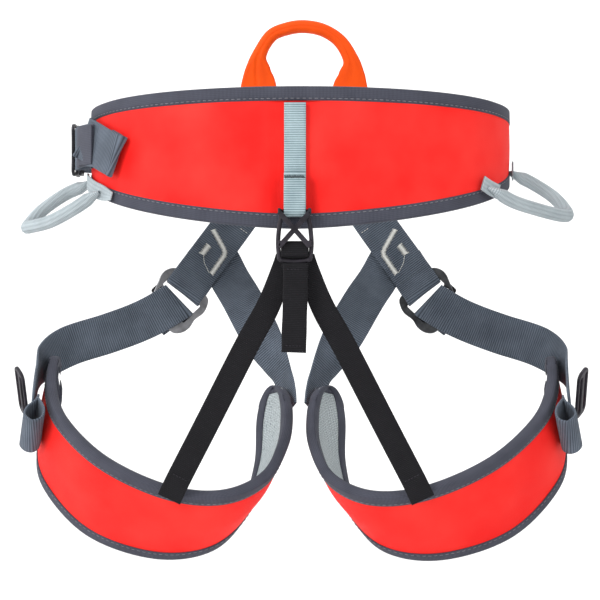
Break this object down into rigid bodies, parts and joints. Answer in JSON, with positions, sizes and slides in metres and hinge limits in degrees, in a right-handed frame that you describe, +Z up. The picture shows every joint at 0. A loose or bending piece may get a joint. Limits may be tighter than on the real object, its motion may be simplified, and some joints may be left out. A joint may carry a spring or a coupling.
{
  "type": "tree climbing saddle",
  "caption": "Sit harness for tree climbing: padded waist belt, two padded leg loops, standing front loop, gear loops, rear elastic straps and webbing buckles.",
  "frame": {"origin": "middle of the waist opening, half way up the padded belt at the back", "axes": "+Z up, +Y towards the wearer's front, +X towards the wearer's right"},
  "size_m": [0.6142, 0.3128, 0.5904],
  "materials": {
    "red_cloth": "close woven red cover cloth with a slight sheen",
    "foam": "closed-cell foam",
    "mesh_liner": "open air-mesh lining",
    "binding_tape": "grosgrain edge tape with a pale stitch line",
    "slate_webbing": "ribbed load-bearing webbing",
    "orange_webbing": "smooth tubular webbing",
    "pale_webbing": "ribbed light grey-blue webbing",
    "black_elastic": "flat woven elastic",
    "black_plastic": "moulded nylon",
    "dark_metal": "black anodised plate with bare edges",
    "pale_sheath": "tubular woven sheath",
    "loop_core": "extruded tube"
  },
  "bodies": {
    "waist": {"belt_outer_panel": "red_cloth", "belt_foam": "foam", "belt_liner": "mesh_liner", "belt_binding_top": "binding_tape", "belt_binding_bottom": "binding_tape", "waist_webbing": "slate_webbing", "belt_buckle_strap": "dark_metal", "front_webbing_left": "slate_webbing", "front_bridge": "slate_webbing", "front_loop_ends": "orange_webbing", "tie_in_stack": "slate_webbing", "back_strap": "pale_webbing", "rear_hook": "black_plastic", "elastic_wrap": "black_elastic", "belt_buckle_frame": "dark_metal", "gear_loop_anchor_left": "slate_webbing", "gear_loop_anchor_right": "slate_webbing"},
    "leg_left": {"riser_strap_left": "slate_webbing", "inner_strap_left": "slate_webbing", "leg_webbing_left": "slate_webbing", "elastic_strap_left": "black_elastic", "leg_buckle_frame_left": "dark_metal", "leg_outer_panel_left": "red_cloth", "leg_foam_left": "foam", "leg_liner_left": "mesh_liner", "leg_binding_upper_left": "binding_tape", "leg_binding_lower_left": "binding_tape"},
    "leg_right": {"riser_strap_right": "slate_webbing", "inner_strap_right": "slate_webbing", "leg_webbing_right": "slate_webbing", "elastic_strap_right": "black_elastic", "leg_buckle_frame_right": "dark_metal", "leg_outer_panel_right": "red_cloth", "leg_foam_right": "foam", "leg_liner_right": "mesh_liner", "leg_binding_upper_right": "binding_tape", "leg_binding_lower_right": "binding_tape"},
    "leg_buckle_slide_left": {"leg_buckle_slide_left": "dark_metal"},
    "leg_buckle_slide_right": {"leg_buckle_slide_right": "dark_metal"},
    "leg_slider_left": {"leg_slider_left": "black_plastic"},
    "leg_slider_right": {"leg_slider_right": "black_plastic"},
    "leg_tail_left": {"leg_tail_left": "slate_webbing"},
    "leg_tail_right": {"leg_tail_right": "slate_webbing"},
    "front_loop": {"front_loop": "orange_webbing"},
    "gear_loop_left": {"gear_loop_core_left": "loop_core", "gear_loop_sheath_left": "pale_sheath"},
    "gear_loop_right": {"gear_loop_core_right": "loop_core", "gear_loop_sheath_right": "pale_sheath"},
    "belt_buckle_slide": {"belt_buckle_slide": "dark_metal"},
    "belt_tail": {"belt_tail": "slate_webbing"},
    "belt_keeper": {"belt_keeper": "black_plastic"},
    "elastic_tail": {"elastic_tail": "black_elastic"}
  },
  "joints": [
    {"name": "leg_swing_left", "type": "hinge", "parent": "waist", "child": "leg_left", "pos_m": [0, -0.148, -0.103], "axis": [0, 0.9287, 0.3709], "range_deg": [0, 20]},
    {"name": "leg_swing_right", "type": "hinge", "parent": "waist", "child": "leg_right", "pos_m": [0, -0.148, -0.103], "axis": [0, -0.9287, -0.3709], "range_deg": [0, 20]},
    {"name": "front_loop_fold", "type": "hinge", "parent": "waist", "child": "front_loop", "pos_m": [0, 0.136, 0.044], "axis": [1, 0, 0], "range_deg": [-90, 15]},
    {"name": "gear_loop_flex_left", "type": "hinge", "parent": "waist", "child": "gear_loop_left", "pos_m": [-0.214, -0.061, -0.034], "axis": [-0.2411, 0.9517, 0.1903], "range_deg": [-25, 25], "stiffness_Nm_per_rad": 0.6},
    {"name": "gear_loop_flex_right", "type": "hinge", "parent": "waist", "child": "gear_loop_right", "pos_m": [0.206, -0.0745, -0.032], "axis": [-0.2717, -0.9293, -0.25], "range_deg": [-25, 25], "stiffness_Nm_per_rad": 0.6},
    {"name": "belt_buckle_slip", "type": "slide", "parent": "waist", "child": "belt_buckle_slide", "axis": [0.0698, 0.9976, 0], "range_m": [-0.006, 0]},
    {"name": "belt_tail_lift", "type": "hinge", "parent": "waist", "child": "belt_tail", "pos_m": [-0.2385, -0.009, 0.019], "axis": [0, 0, 1], "range_deg": [-35, 0]},
    {"name": "belt_keeper_slip", "type": "slide", "parent": "waist", "child": "belt_keeper", "axis": [0.8191, 0.5736, 0], "range_m": [-0.003, 0.003]},
    {"name": "elastic_tail_swing", "type": "hinge", "parent": "waist", "child": "elastic_tail", "pos_m": [0, -0.151, -0.106], "axis": [1, 0, 0], "range_deg": [-40, 0]},
    {"name": "leg_buckle_slip_left", "type": "slide", "parent": "leg_left", "child": "leg_buckle_slide_left", "axis": [0.7154, 0.2079, 0.6671], "range_m": [0, 0.008]},
    {"name": "leg_slider_slip_left", "type": "slide", "parent": "leg_left", "child": "leg_slider_left", "axis": [0, 0.8191, 0.5736], "range_m": [-0.003, 0.003]},
    {"name": "leg_tail_lift_left", "type": "hinge", "parent": "leg_left", "child": "leg_tail_left", "pos_m": [-0.2815, -0.009, -0.264], "axis": [-0.2006, 0.5618, -0.8026], "range_deg": [0, 35]},
    {"name": "leg_buckle_slip_right", "type": "slide", "parent": "leg_right", "child": "leg_buckle_slide_right", "axis": [-0.7154, 0.2079, 0.6671], "range_m": [0, 0.008]},
    {"name": "leg_slider_slip_right", "type": "slide", "parent": "leg_right", "child": "leg_slider_right", "axis": [0, 0.8191, 0.5736], "range_m": [-0.003, 0.003]},
    {"name": "leg_tail_lift_right", "type": "hinge", "parent": "leg_right", "child": "leg_tail_right", "pos_m": [0.2815, -0.009, -0.264], "axis": [-0.2006, -0.5618, 0.8026], "range_deg": [0, 35]}
  ]
}
